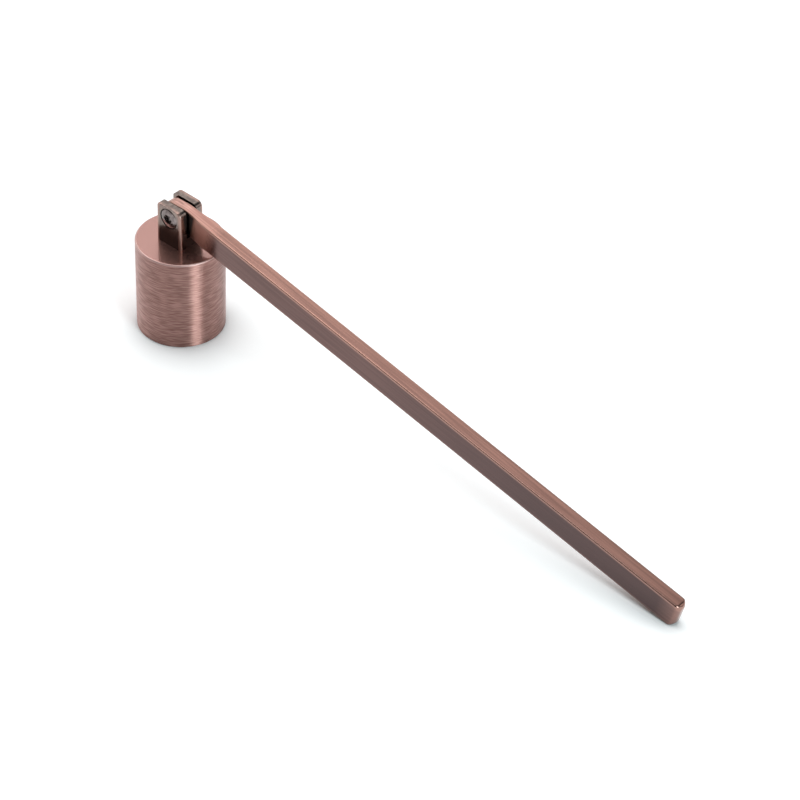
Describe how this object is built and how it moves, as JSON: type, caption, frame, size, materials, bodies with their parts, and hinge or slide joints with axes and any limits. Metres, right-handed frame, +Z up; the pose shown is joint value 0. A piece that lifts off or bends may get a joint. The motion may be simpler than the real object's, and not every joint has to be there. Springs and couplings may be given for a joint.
{
  "type": "candle snuffer",
  "caption": "Candle snuffer: small round metal bell with a forked clevis on top, hinged by a screw to a long flat bar handle.",
  "frame": {"origin": "on the bell's axis, in the plane of the mouth that the bell stands on", "axes": "+Z up along the bell's axis, +X along the handle away from the bell, the pivot screw along Y with its head towards -Y"},
  "size_m": [0.1793, 0.024, 0.0394],
  "materials": {
    "bell_copper": "antique copper plate, brushed round the wall",
    "handle_copper": "antique copper plate, brushed lengthwise",
    "clevis_bronze": "dark bronze plate, satin",
    "screw_bronze": "dark bronze plate, semi-gloss",
    "plated_steel": "bright zinc plate"
  },
  "bodies": {
    "bell_head": {"bell": "bell_copper", "clevis": "clevis_bronze", "clevis_screw": "plated_steel", "lock_washer": "plated_steel", "pivot_screw": "screw_bronze"},
    "handle": {"handle": "handle_copper"}
  },
  "joints": [
    {"name": "handle_pivot", "type": "hinge", "parent": "bell_head", "child": "handle", "pos_m": [0, 0, 0.0361], "axis": [0, -1, 0], "range_deg": [-6.5, 208.5]}
  ]
}
